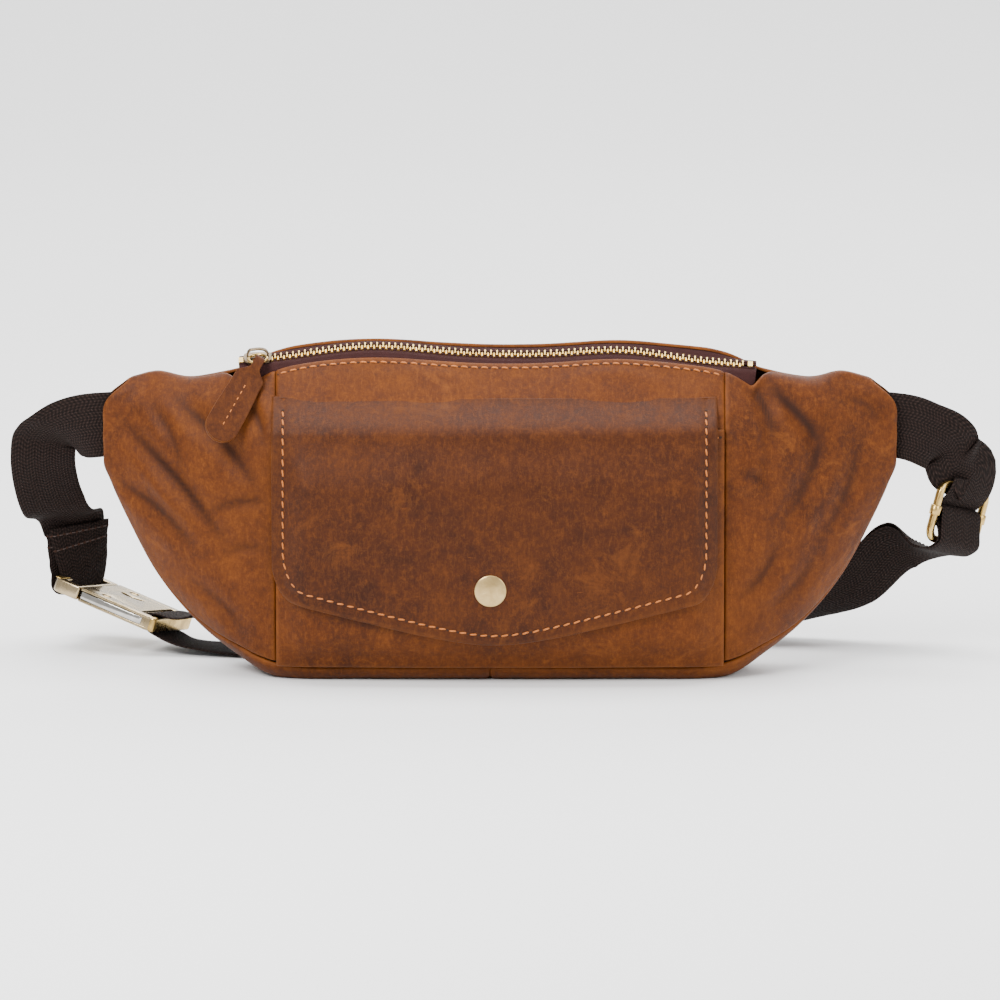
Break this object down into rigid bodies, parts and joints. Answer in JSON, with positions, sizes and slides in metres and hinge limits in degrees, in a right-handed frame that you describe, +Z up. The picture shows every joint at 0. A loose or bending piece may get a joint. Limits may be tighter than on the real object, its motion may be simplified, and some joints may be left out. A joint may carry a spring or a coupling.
{
  "type": "waist pack",
  "caption": "Leather waist pack with a top zip, a snap flap pocket, webbing belt, squeeze buckle and strap adjuster.",
  "frame": {"origin": "the middle of the base the pouch stands on", "axes": "+Z up, +X to the right as seen from the front, front towards -Y"},
  "size_m": [0.4543, 0.1434, 0.1519],
  "materials": {
    "leather": "satin",
    "flap_leather": "satin",
    "antique_brass": "satin",
    "polished_steel": "polished",
    "webbing": "matte",
    "zip_tape": "matte",
    "lining_cloth": "matte"
  },
  "bodies": {
    "pouch_body": {"front_panel": "leather", "left_wing": "leather", "right_wing": "leather", "back_panel": "leather", "bottom_gusset_left": "leather", "bottom_gusset_right": "leather", "lining_front": "lining_cloth", "lining_back": "lining_cloth", "pocket_panel": "leather", "flap_fold": "flap_leather", "snap_stud": "antique_brass", "snap_stud_washer": "antique_brass", "zip_teeth_front": "antique_brass", "zip_teeth_rear": "antique_brass", "zip_tape_front": "zip_tape", "zip_tape_rear": "zip_tape", "zip_end_stops": "antique_brass", "left_strap": "webbing", "long_strap": "webbing", "buckle_housing": "antique_brass", "buckle_pins": "antique_brass", "lever_spring_front": "polished_steel", "lever_spring_rear": "polished_steel", "adjuster_bar": "antique_brass"},
    "slider_body": {"zip_slider": "antique_brass", "zip_crown": "antique_brass"},
    "ring_body": {"pull_ring": "antique_brass"},
    "tab_body": {"pull_tab": "leather"},
    "flap_body": {"flap_outer": "flap_leather", "flap_lining": "flap_leather", "snap_cap": "antique_brass", "snap_socket": "antique_brass"},
    "tongue_body": {"buckle_tongue": "antique_brass", "left_strap_loop": "webbing"},
    "front_lever_body": {"release_lever_front": "polished_steel"},
    "rear_lever_body": {"release_lever_rear": "polished_steel"},
    "adjuster_body": {"adjuster_frame": "antique_brass"}
  },
  "joints": [
    {"name": "zip_travel", "type": "hinge", "parent": "pouch_body", "child": "slider_body", "pos_m": [-0.015, -0.002, -1.5525], "axis": [0, 1, 0], "range_deg": [0, 7], "deforming": ["zip_teeth_front", "zip_teeth_rear", "zip_tape_front", "zip_tape_rear", "pull_tab"]},
    {"name": "ring_swing", "type": "hinge", "parent": "slider_body", "child": "ring_body", "pos_m": [-0.11119, -0.00311, 0.14821], "axis": [-0.9984, 0, -0.0565], "range_deg": [0, 50]},
    {"name": "tab_swing", "type": "hinge", "parent": "ring_body", "child": "tab_body", "pos_m": [-0.11105, -0.0111, 0.14561], "axis": [-0.9984, 0, -0.0565], "range_deg": [0, 90]},
    {"name": "flap_open", "type": "hinge", "parent": "pouch_body", "child": "flap_body", "pos_m": [0, -0.031, 0.1295], "axis": [-1, 0, 0], "range_deg": [0, 150]},
    {"name": "buckle_slide", "type": "slide", "parent": "pouch_body", "child": "tongue_body", "axis": [-0.8473, 0.4487, 0.2842], "range_m": [0, 0.024]},
    {"name": "front_lever_squeeze", "type": "hinge", "parent": "pouch_body", "child": "front_lever_body", "pos_m": [-0.18483, 0.05133, 0.02254], "axis": [0.3139, -0.0086, 0.9494], "range_deg": [0, 4.5], "stiffness_Nm_per_rad": 0.05, "springref_deg": -2.01},
    {"name": "rear_lever_squeeze", "type": "hinge", "parent": "pouch_body", "child": "rear_lever_body", "pos_m": [-0.17061, 0.08099, 0.01811], "axis": [-0.3139, 0.0086, -0.9494], "range_deg": [0, 4.5], "stiffness_Nm_per_rad": 0.05, "springref_deg": -2.01},
    {"name": "adjuster_slide", "type": "slide", "parent": "pouch_body", "child": "adjuster_body", "axis": [-0.2595, -0.1198, -0.9583], "range_m": [0, 0.005]}
  ]
}
